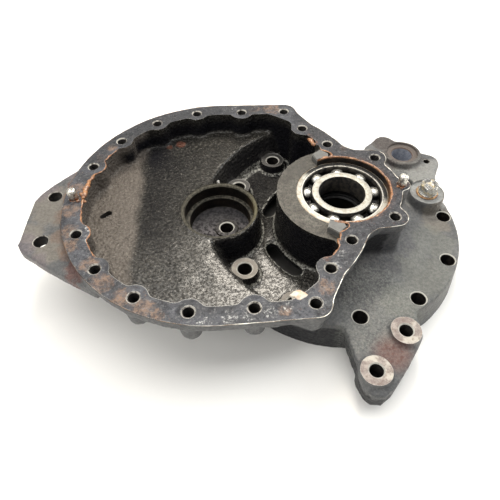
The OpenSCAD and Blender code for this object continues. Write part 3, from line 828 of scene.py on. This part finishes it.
def drill_profile(radius, bottom, face, chamfer=1.0, clear=3.0, tip=1.8, thread=0.0):
    """Profile of a drill with its countersink. With thread, the wall has grooves that deep."""
    profile = [(0, bottom - tip), (radius, bottom)]
    if thread:
        pitch = 1.5
        turns = int((face - chamfer - 1.0 - bottom - 5.0) / pitch)
        start = face - chamfer - 0.6 - turns * pitch
        for i in range(turns):
            z = start + i * pitch
            profile += [(radius, z), (radius + thread, z + 0.75)]
    wide = radius + chamfer
    return profile + [(radius, face - chamfer), (wide, face), (wide, face + clear), (0, face + clear)]


def spot_faces(case, cutter, spots, material):
    """Cuts round flats with a small corner radius; each spot is a place, a radius and a height."""
    for place, radius, z in spots:
        profile = [(0, z), (radius - 0.6, z), (radius, z + 0.6), (radius + 0.8, z + 7), (0, z + 7)]
        add_lathe(cutter, profile, place, 64)
    cut(case, "spot_faces", cutter, material)


def mill_faces(case):
    """Cuts the joint face, the step to the housing's face, the foot and the bosses' tops."""
    cut(case, "face_mill", sheet(FLANGE_TOP, FLANGE_TOP + 30), FLANGE)
    step = bmesh.new()
    add_prism(step, crescent_outline(), CRESCENT_TOP, FLANGE_TOP + 2)
    cut(case, "step_mill", step, CRESCENT)
    spots = [(DISC_BOLTS[k], 11.6, BOSS_TOP) for k in DECK_DISC_BOLTS]
    spots += [(p, 14.0, BOSS_TOP) for p in BRACKET_BOSSES]
    spot_faces(case, sheet(FOOT - 20, FOOT), spots, BOSS)
    spots = [(FILLER, 15.6, FILLER_TOP), (SHAFT_BOSS, 15.0, SHAFT_BOSS_TOP - 0.4)]
    spot_faces(case, bmesh.new(), spots, DULL)
    spot_faces(case, bmesh.new(), [(GEAR_CENTRE, 34.2, DISH - 0.1)], POCKET)


def add_horns(case):
    """Adds the two blocks at the ends of the joint face, each with a smaller rounded-off top layer."""
    horns = bmesh.new()
    for side in (1, -1):
        base = [(x, side * y) for x, y in HORN]
        crown = [(x * 0.94 - 0.7, side * (y * 0.94 + 2.6)) for x, y in HORN]
        add_prism(horns, base, CRESCENT_TOP - 2, FLANGE_TOP - 0.9)
        add_prism(horns, crown, FLANGE_TOP - 1.5, FLANGE_TOP)
    combine(case, finish_mesh("seat_horns", horns, DULL), "UNION")


def bore_pocket(case):
    """Cuts the idler pocket, and leaves the disc bolt's boss standing on its floor."""
    pocket = bmesh.new()
    add_lathe(pocket, [(0, POCKET_FLOOR), (25.5, POCKET_FLOOR), (26.9, POCKET_FLOOR + 0.6),
                       (27.5, POCKET_FLOOR + 2.0), (27.5, POCKET_SEAT - 0.6), (28.1, POCKET_SEAT),
                       (31, POCKET_SEAT), (31, DISH - 1.2), (32.3, DISH + 0.1), (32.3, DISH + 8),
                       (0, DISH + 8)], GEAR_CENTRE, 128)
    pocket = finish_mesh("pocket_bar", pocket, POCKET)
    centre_boss = bmesh.new()
    top = CENTRE_BOSS_TOP
    add_lathe(centre_boss, [(0, -60), (11, -60), (11, top - 1.4), (10.6, top - 0.4), (9.8, top), (0, top)],
              DISC_BOLTS[POCKET_DISC_BOLT], 64)
    combine(pocket, finish_mesh("centre_boss", centre_boss, POCKET), "DIFFERENCE")
    combine(case, pocket, "DIFFERENCE")


def bore_seat(case):
    """Cuts the shaft's way, the seal's and the bearing's seats and the chamfer, from the bottom up."""
    seat = bmesh.new()
    add_lathe(seat, [(0, FOOT - 5), (27, FOOT - 5), (27, -32), (28, -31), (31, -31), (31, -22.2), (32, -21),
                     (35, -21), (35, -18.8), (36, -18), (40.04, -18), (40.04, 4.9), (41.5, 6.3),
                     (41.5, CUTTER_TOP), (0, CUTTER_TOP)], (0, 0), 160)
    cut(case, "boring_bar", seat, BORE)


def drill_holes(case):
    pin_holes = list(DOWELS.values())
    shaft_face = SHAFT_BOSS_TOP - 0.4
    # Places, drill profile and how many sides the hole has.
    drills = [(COVER_BOLTS, drill_profile(4.25, FLANGE_TOP - 24, FLANGE_TOP, 0.9, thread=0.55), 32),
              (pin_holes, drill_profile(4.27, FLANGE_TOP - 12, FLANGE_TOP, 0.3, tip=0.0), 48),
              (EAR_HOLES, drill_profile(6.0, EAR_TOP - 16, EAR_TOP, 0.6), 40),
              (BRACKET_BOSSES, drill_profile(5.3, DISC_TOP - 24, BOSS_TOP, 0.9, thread=0.5), 40),
              ([SHAFT_BOSS], drill_profile(10.0, FOOT - 5, shaft_face, 0.8, clear=4.0), 64),
              ([EAR_BOSS], drill_profile(3.0, -56, EAR_BOSS_TOP, 0.6), 32),
              ([FILLER], drill_profile(6.0, -41, FILLER_TOP, 0.8, tip=0.0), 48)]
    for k, place in enumerate(DISC_BOLTS):
        face = BOSS_TOP if k in DECK_DISC_BOLTS else DISC_TOP
        if k == POCKET_DISC_BOLT:
            face = CENTRE_BOSS_TOP
        profile = drill_profile(DISC_BOLT_HOLE_R, FOOT - 5, face, 0.9)
        if k in BLIND_DISC_BOLTS:
            profile = [(0, FOOT - 5), (DISC_BOLT_HOLE_R, FOOT - 5), (DISC_BOLT_HOLE_R, -43), (0, -41)]
        drills.append(([place], profile, 48))
    holes = bmesh.new()
    for places, profile, sides in drills:
        for place in places:
            add_lathe(holes, profile, place, sides)
    add_prism(holes, pit_outline(), DISH - 5, DISH + 2)
    cut(case, "drills", holes, HOLE)


def pit_outline():
    """Small oblong pocket in the gear chamber's floor."""
    right = [(3.4 + 3.1 * math.cos(a), 3.1 * math.sin(a)) for a in np.linspace(-1.5, 1.5, 9)]
    left = [(-2.6 + 2.4 * math.cos(a), 2.4 * math.sin(a)) for a in np.linspace(1.75, 4.53, 9)]
    turn = Matrix.Rotation(math.radians(38), 2)
    return [tuple(turn @ Vector(p) + Vector(PIT)) for p in right + left]


def in_outline(x, y, outline):
    """For arrays x and y: whether each point is inside a closed outline."""
    inside = np.zeros(len(x), bool)
    for (x0, y0), (x1, y1) in zip(outline, outline[1:] + outline[:1]):
        crosses = (y0 > y) != (y1 > y)
        slope = (x1 - x0) / ((y1 - y0) or 1e-9)
        inside ^= crosses & (x < x0 + (y - y0) * slope)
    return inside


def paint_attributes(case):
    """Point values for the material: inside is 1 in the chambers; the grime value is 1 where oil and dirt lie
    thick, and also holds painted shade.
    """
    mesh = case.data
    x, y, z = point_vectors(mesh, "co").T / MM
    toward_y, toward_z = point_vectors(mesh, "normal").T[1:]
    half = [(-108, 118), (-60, 117), (-50, 115), (-40, 108), (-28, 89), (-16, 68), (-4, 57), (-4, 0)]
    wall_line = half + [(px, -py) for px, py in reversed(half)]
    from_gear = np.hypot(x - GEAR_X, y)
    from_axis = np.hypot(x, y)
    chamber = (from_gear < 118) | in_outline(x, y, wall_line)
    chamber &= (z > -48) & (toward_z > -0.4)
    chamber &= (from_axis < 123) | (z > DISH - 3)
    chamber |= (from_axis < 42) & (z > -60)
    # Painted shade, partly oil: steep chamber walls are darkened, most of all those facing the front, which
    # the light from behind leaves in shade.
    facing_front = np.clip(-toward_y, 0, 1)
    steep = np.clip(1.1 - np.abs(toward_z) * 1.6, 0, 1)
    depth = np.clip((FLANGE_TOP - 2 - z) / 8.0, 0, 1)
    left_wall = np.clip((-x - 196) / 10, 0, 1) * (np.abs(y) < 70)
    oil = chamber * steep * depth * np.clip(0.35 + facing_front, 0, 1) * (1 - 0.85 * left_wall)
    on_dish = chamber & (z < DISH + 3) & (z > DISH - 4)
    band = np.clip((x + 180) / 6, 0, 1) * np.clip((-135 - x) / 30, 0, 1) * np.clip((y + 62) / 40, 0, 1)
    corner = np.exp(-(((x + 178) / 20) ** 2 + ((y - 76) / 17) ** 2))
    oil = np.maximum(oil, on_dish * np.clip(0.5 * band + 0.5 * corner, 0, 1))
    # Painted shade on the back of the deck, under the flange.
    deck_back = chamber & (z < DISH - 4) & (y > 10)
    oil = np.maximum(oil, deck_back * np.clip((y - 20) / 60, 0, 1) * 0.6)
    # Painted shade: the outer walls under the flange front and the front of the foot are darkened.
    under = ~chamber * np.clip(-toward_y - 0.1, 0, 1) * (z < -4) * (from_axis < 96) * (x < 30) * 0.9
    rim_front = ~chamber & (z < -44) & (x < 15) & (y < 0)
    grime_and_shade = np.clip(np.maximum(np.maximum(oil, under), rim_front * 0.75), 0, 1)
    for name, value in (("inside", chamber.astype(float)), ("grime_and_shade", grime_and_shade)):
        layer = mesh.attributes.new(name, "FLOAT", "POINT")
        layer.data.foreach_set("value", value.astype(np.float32))


def build_case():
    case = casting_blank()
    for work in (mill_faces, add_horns, bore_pocket, bore_seat, drill_holes):
        work(case)
    soften(case.data, 32)
    paint_attributes(case)
    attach(case, "case")
    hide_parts("gear_case")
    return case


# ---------------------------------------------------------------- edges of the joint face

def face_loops(case, material):
    """Closed loops of points round the faces that have the material, longest first."""
    mesh = case.data
    index = list(mesh.materials).index(material)
    count = {}
    for poly in mesh.polygons:
        if poly.material_index == index and poly.normal.z > 0.9:
            for a, b in poly.edge_keys:
                count[(a, b)] = count.get((a, b), 0) + 1
    links = {}
    for (a, b), n in count.items():
        if n == 1:
            links.setdefault(a, []).append(b)
            links.setdefault(b, []).append(a)
    loops = []
    while links:
        start = min(links)
        path = [start]
        while links.get(path[-1]):
            following = links[path[-1]].pop()
            links[following].remove(path[-1])
            if following == start:
                break
            path.append(following)
        links = {k: v for k, v in links.items() if v}
        loops.append([mesh.vertices[i].co.copy() for i in path])
    length = lambda loop: sum((a - b).length for a, b in zip(loop, loop[1:]))
    return sorted(loops, key=length, reverse=True)


def resample(path, spacing):
    """Points at an even spacing in millimetres along a closed path."""
    pts = path + [path[0]]
    gaps = [(b - a).length for a, b in zip(pts, pts[1:])]
    total = sum(gaps)
    steps = max(8, int(total / (spacing * MM)))
    result, walked, k = [], 0.0, 0
    for i in range(steps):
        target = total * i / steps
        while walked + gaps[k] < target:
            walked += gaps[k]
            k += 1
        share = (target - walked) / (gaps[k] or 1.0)
        result.append(pts[k].lerp(pts[k + 1], share))
    return result


def rubbed_edge(outer):
    """Thin raised lip of bright metal along the outer edge of the joint face."""
    path = resample(outer, 1.2)
    path = [(path[i - 1] + path[i] * 2 + path[(i + 1) % len(path)]) / 4 for i in range(len(path))]
    path = [p - Vector((0, 0, 0.12 * MM)) for p in path]
    bm = bmesh.new()
    size = lambda i: 0.3 + 0.22 * noise.noise(path[i] * 160)
    tube(bm, path, size, 6, 0.8, closed=True)
    edge = finish_mesh("joint_edge_lip", bm, burr_look(), 60)
    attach(edge, "case")


def stretches(path, keep):
    """Runs of neighbouring points for which keep(point) holds, from a closed path."""
    flags = [keep(p) for p in path]
    if all(flags):
        return [path]
    start = flags.index(False)
    order = [(start + i) % len(path) for i in range(len(path))]
    runs, run = [], []
    for i in order:
        if flags[i]:
            run.append(path[i])
        elif run:
            runs.append(run)
            run = []
    if run:
        runs.append(run)
    return [r for r in runs if len(r) > 6]


def sealant_bead(inner):
    """Squeezed-out bead of torn sealant that follows the scalloped inner edge of the joint face."""
    torn = ((145, 216), (8, 30), (318, 346))

    def wanted(p):
        x, y = p.x / MM, p.y / MM
        around = math.degrees(math.atan2(y, x - GEAR_X)) % 360
        seat = math.hypot(x, y) < 44 and x > -13
        return seat or math.hypot(x - GEAR_X, y) > 100 and any(a < around < b for a, b in torn)

    def fatness(p):
        x, y = p.x / MM, p.y / MM
        if math.hypot(x, y) < 44:
            return 0.62
        by_pin = 1.0 * math.exp(-((y - 12) / 14) ** 2) * (x < -150)
        return 0.55 + by_pin + 0.8 * math.exp(-((y - 66) / 8) ** 2) * (x > -60)

    path = resample(inner, 0.9)
    bm = bmesh.new()
    for run in stretches(path, wanted):
        count = len(run)
        ragged = []
        for p in run:
            shift = Vector((noise.noise(p * 300), noise.noise(p * 300 + Vector((9, 0, 0))), 0)) * fatness(p)
            ragged.append(p + (shift - Vector((0, 0, 0.45 + 0.4 * noise.noise(p * 90)))) * MM)

        def size(i, pts=ragged, n=count):
            taper = min(1.0, (min(i, n - 1 - i) + 0.4) / 5)
            lumps = 1.0 + 0.6 * noise.noise(pts[i] * 210) + 0.35 * noise.noise(pts[i] * 620)
            return max(0.25, lumps) * fatness(pts[i]) * 1.35 * taper
        tube(bm, ragged, size, 8, 0.8)
    bead = finish_mesh("torn_sealant_bead", bm, SEALANT, 60)
    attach(bead, "case")
    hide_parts("sealant_bead")


def lump(bm, centre, size, seed, turn=0.0):
    """Adds a small closed lump with an uneven skin. Centre and size are millimetres."""
    before = set(bm.verts)
    bmesh.ops.create_icosphere(bm, subdivisions=3 if max(size) > 4 else 1, radius=1.0)
    spin = Matrix.Rotation(turn, 3, "Z")
    for vert in [v for v in bm.verts if v not in before]:
        p = vert.co.copy()
        swell = 1 + 0.35 * noise.noise(p * 1.7 + Vector((seed, 0, 0)))
        swell += 0.15 * noise.noise(p * 4 + Vector((0, seed, 0)))
        p = spin @ Vector([p[i] * size[i] * swell for i in range(3)])
        vert.co = (p + Vector(centre)) * MM


def crumbs():
    """Rust flakes and sealant crumbs on the joint face, thickest by the left pin and on the front edge."""
    rng = np.random.default_rng(7)
    bm = bmesh.new()
    # Each zone is x, y, spread and count.
    zones = [(-228, -2, 9, 26), (-232, 6, 6, 16), (-197, -85, 9, 16), (-168, -110, 10, 20),
             (-148, -120, 8, 14), (-60, -121, 10, 14), (-40, 116, 8, 14), (-96, 126, 8, 14),
             (51, 0, 6, 12), (-214, 44, 6, 12)]
    for x, y, spread, count in zones:
        for _ in range(count):
            px, py = x + rng.normal(0, spread / 2), y + rng.normal(0, spread / 2)
            size = (rng.uniform(0.35, 1.3), rng.uniform(0.3, 1.0), rng.uniform(0.15, 0.5))
            turn, seed = rng.uniform(0, math.pi), rng.uniform(0, 50)
            on_face = 115.5 < math.hypot(px - GEAR_X, py) < 129.5 or math.hypot(px - 51, py) < 6.5
            if on_face and min(math.dist((px, py), hole) for hole in COVER_BOLTS) >= 6.5:
                lump(bm, (px, py, FLANGE_TOP + 0.05), size, seed, turn)
    torn = [(-23.5, 81, 5.0, 1.2), (-20.8, 74.5, 4.6, 1.5), (-18.6, 67.5, 4.2, 2.3), (-16.6, 62, 3.2, 2.2)]
    for x, y, length, width in torn:
        lump(bm, (x, y, FLANGE_TOP - 1.2), (length, width, 1.5), x, math.radians(-66))
    by_pins = [(-224.5, 4.5, 2.6), (-222, 0.5, 2.2), (-226, -4, 2.0), (-220, -5, 1.8), (47, -3, 1.7),
               (49, -5.5, 1.5)]
    for x, y, size in by_pins:
        lump(bm, (x, y, FLANGE_TOP + 0.4), (size, size * 0.8, size * 0.55), y, x)
    flakes = finish_mesh("rust_crumbs", bm, SEALANT, 60)
    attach(flakes, "case")
    blob = bmesh.new()
    lump(blob, (-60.5, -109.6, FLANGE_TOP - 0.8), (8.4, 4.4, 2.6), 3.0, math.radians(6))
    lump(blob, (-51.0, -108.5, FLANGE_TOP - 0.8), (6.0, 4.0, 2.2), 11.0, math.radians(-10))
    putty = finish_mesh("sealant_blob", blob, putty_look(), 60)
    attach(putty, "case")


# ---------------------------------------------------------------- bearing, seal and fittings

RING_STEEL = ring_look()
BALL_STEEL = steel_look("ball_steel", (0.92, 0.91, 0.88), (0.72, 0.68, 0.58), 0.4, 0.12)
CAGE_STEEL = cage_look()
# Near black seal shell and spring: painted shade at the bottom of the bore.
SEAL_STEEL = steel_look("seal_steel", (0.012, 0.012, 0.013), (0.01, 0.009, 0.008), 0.6, 0.6, 0.0)
SPRING_STEEL = steel_look("spring_steel", (0.06, 0.06, 0.062), (0.03, 0.028, 0.026), 0.5, 0.45, 0.5)


def race_arc(centre_r, radius, low, high, steps=12):
    """Points of a raceway groove between two angles, for a lathe profile."""
    angles = [math.radians(low + (high - low) * i / steps) for i in range(steps + 1)]
    return [(centre_r + radius * math.cos(a), -9 + radius * math.sin(a)) for a in angles]


def turned_piece(name, node, profile, material, body="case", centre=(0.0, 0.0), segments=160):
    bm = bmesh.new()
    add_lathe(bm, profile, centre, segments, closed=True)
    piece = finish_mesh(name, bm, material, 28)
    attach(piece, body)
    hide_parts(node)


def build_bearing():
    outer_groove = race_arc(29.85, 6.2, -52, 52)
    outer = [(33.8, -17.4), (34.4, -18), (39, -18), (39.7, -17.7), (40, -17), (40, -1), (39.7, -0.3), (39, 0),
             (35.9, 0), (35.6, -0.35), (34.6, -0.35), (34.1, -0.9), (33.8, -1.4)]
    turned_piece("outer_ring", "bearing_outer_ring", outer + outer_groove[::-1], RING_STEEL)
    inner_groove = race_arc(30.15, 6.2, 232, 128)
    inner = [(26.2, -17.4), (25.7, -18), (21, -18), (20.3, -17.7), (20, -17), (20, -1), (20.3, -0.3), (21, 0),
             (25.2, 0), (25.9, -0.3), (26.2, -1)]
    inner += inner_groove[::-1]
    turned_piece("inner_ring", "bearing_inner_ring", inner, RING_STEEL, "inner_ring")
    for name, obj in NODES.items():
        if name.startswith("ball_"):
            dress(obj, BALL_STEEL)
        elif name.startswith("cage_"):
            dress(obj, CAGE_STEEL)


def dress(obj, material):
    """Gives a CAD node that stays its finished material."""
    obj.data.materials.clear()
    obj.data.materials.append(material)


def build_seal():
    shell = [(25.5, -31), (30.2, -31), (30.8, -30.7), (31, -30), (31, -21.8), (30.7, -21.1), (30, -21),
             (29.6, -21.3), (29.5, -22), (29.5, -29), (29.1, -29.5), (25.5, -29.5)]
    turned_piece("seal_shell", "seal_case", shell, SEAL_STEEL)
    dress(NODES["seal_lip"], rubber_look())
    dress(NODES["garter_spring"], SPRING_STEEL)


def build_pins():
    pin = pin_look()
    top = FLANGE_TOP + 10
    for node, place in DOWELS.items():
        worn = [(0, -6), (3.8, -6), (4.25, -5.5), (4.25, 5.9), (4, 6.1), (3.9, 6.9), (3.96, 9),
                (4, top - 2.2), (3.8, top - 1.3), (3.3, top - 0.5), (2.6, top - 0.1), (1.4, top - 0.02),
                (0.9, top - 0.5), (0, top - 0.6)]
        bm = bmesh.new()
        add_lathe(bm, worn, place, 48)
        for vert in bm.verts:
            if vert.co.z > 5 * MM:
                push = noise.noise(vert.co * 260) * 0.12 * MM
                away = Vector((vert.co.x - place[0] * MM, vert.co.y - place[1] * MM, 0))
                if away.length > 1e-5:
                    vert.co += away.normalized() * min(push, 0)
        piece = finish_mesh(f"{node}_worn", bm, pin, 40)
        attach(piece, "case")
        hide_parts(node)


def build_plug():
    """Hexagon plug with chamfered corners, dished head, flange and shank, on its washer."""
    seat = FILLER_TOP + 1.5
    head = bmesh.new()
    hexagon = [polar(8.7, 60 * i, FILLER) for i in range(6)]
    add_prism(head, hexagon, seat + 0.8, seat + 9.6)
    head = finish_mesh("filler_plug_head", head, plug_look(), 30)
    crown = bmesh.new()
    add_lathe(crown, [(0, seat), (9.2, seat), (9.2, seat + 8.2), (7.5, seat + 9.6), (5.4, seat + 9.6),
                      (4.6, seat + 8.5), (4.2, seat + 7.8), (0, seat + 7.6)], FILLER, 72)
    combine(head, finish_mesh("crown", crown), "INTERSECT")
    collar = bmesh.new()
    add_lathe(collar, [(0, seat - 13), (5.4, seat - 13), (5.9, seat - 12.4), (5.9, seat), (8.8, seat),
                       (9.0, seat + 0.3), (9.0, seat + 1.1), (8.5, seat + 1.6), (0, seat + 1.6)], FILLER, 72)
    combine(head, finish_mesh("collar", collar), "UNION")
    soften(head.data, 25)
    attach(head, "case")
    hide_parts("filler_plug")
    ring = [(6.2, FILLER_TOP + 0.2), (6.4, FILLER_TOP), (9.7, FILLER_TOP), (10, FILLER_TOP + 0.4),
            (10, FILLER_TOP + 1.1), (9.6, FILLER_TOP + 1.5), (6.4, FILLER_TOP + 1.5), (6.2, FILLER_TOP + 1.3)]
    copper = washer_look()
    turned_piece("sealing_washer", "plug_washer", ring, copper, centre=FILLER, segments=72)


# ---------------------------------------------------------------- camera, floor and light

def build_camera():
    camera = bpy.data.cameras.new("camera")
    camera.lens = 32.32
    camera.sensor_width = 36.0
    aim = Matrix.Identity(4)
    for degrees, axis in ((-1.99, "Z"), (39.49, "X"), (-1.11, "Z")):
        aim = aim @ Matrix.Rotation(math.radians(degrees), 4, axis)
    eye = new_object("camera", camera)
    eye.matrix_world = Matrix.Translation((-0.09114, -0.28387, 0.27089)) @ aim
    bpy.context.scene.camera = eye


def build_floor():
    """Pale floor. The dark disc under the part is a painted shadow and isn't in the photo; it keeps the
    through openings dark.
    """
    bm = bmesh.new()
    far = 6000
    add_prism(bm, [(-far, -far), (far, -far), (far, far), (-far, far)], FOOT - 20, FOOT)
    paper = Look("pale_floor", specular=0.2)
    paper.start(paper.noise(400, 2.0, 0.55), (0.93, 0.92, 0.885), (0.95, 0.945, 0.925))
    # Painted shadow: a dark disc on the floor under the part.
    paper.lay(paper.disc(0, 0, 96.0, 84.0), (0.05, 0.045, 0.04), 0.93)
    finish_mesh("floor", bm, paper.done(0.6))


def build_lights():
    world = bpy.data.worlds.new("world")
    bpy.context.scene.world = world
    world.use_nodes = True
    sky = world.node_tree.nodes["Background"]
    sky.inputs["Color"].default_value = (1.0, 1.0, 1.0, 1.0)
    sky.inputs["Strength"].default_value = 0.33
    # Name, place, target, watts, size and tint of each panel, in metres.
    panels = (("ceiling", (-0.1, 0.3, 1.5), (-0.1, 0.3, 0.0), 31.0, (2.6, 1.3), (1.0, 0.98, 0.95)),
              ("key", (-0.03, 0.62, 0.95), (-0.09, -0.07, -0.02), 8.0, (0.34, 0.24), (1.0, 0.925, 0.81)),
              ("fill", (-0.95, -0.85, 0.9), (-0.3, -0.15, -0.05), 8.0, (1.0, 1.0), (1.0, 0.98, 0.94)),
              ("window", (1.5, 0.35, 0.9), (0.05, 0.0, 0.0), 12.0, (0.8, 0.8), (0.95, 0.98, 1.0)))
    for name, place, target, power, size, tint in panels:
        lamp = bpy.data.lights.new(name, "AREA")
        lamp.shape = "RECTANGLE"
        lamp.size, lamp.size_y = size
        lamp.energy = power
        lamp.color = tint
        holder = new_object(name, lamp)
        holder.location = place
        holder.rotation_euler = (Vector(target) - holder.location).to_track_quat("-Z", "Y").to_euler()
    bpy.context.scene.view_settings.view_transform = "Standard"


build_camera()
build_floor()
build_lights()
gear_case = build_case()
loops = face_loops(gear_case, FLANGE)
rubbed_edge(loops[0])
sealant_bead(loops[1])
crumbs()
build_bearing()
build_seal()
build_pins()
build_plug()
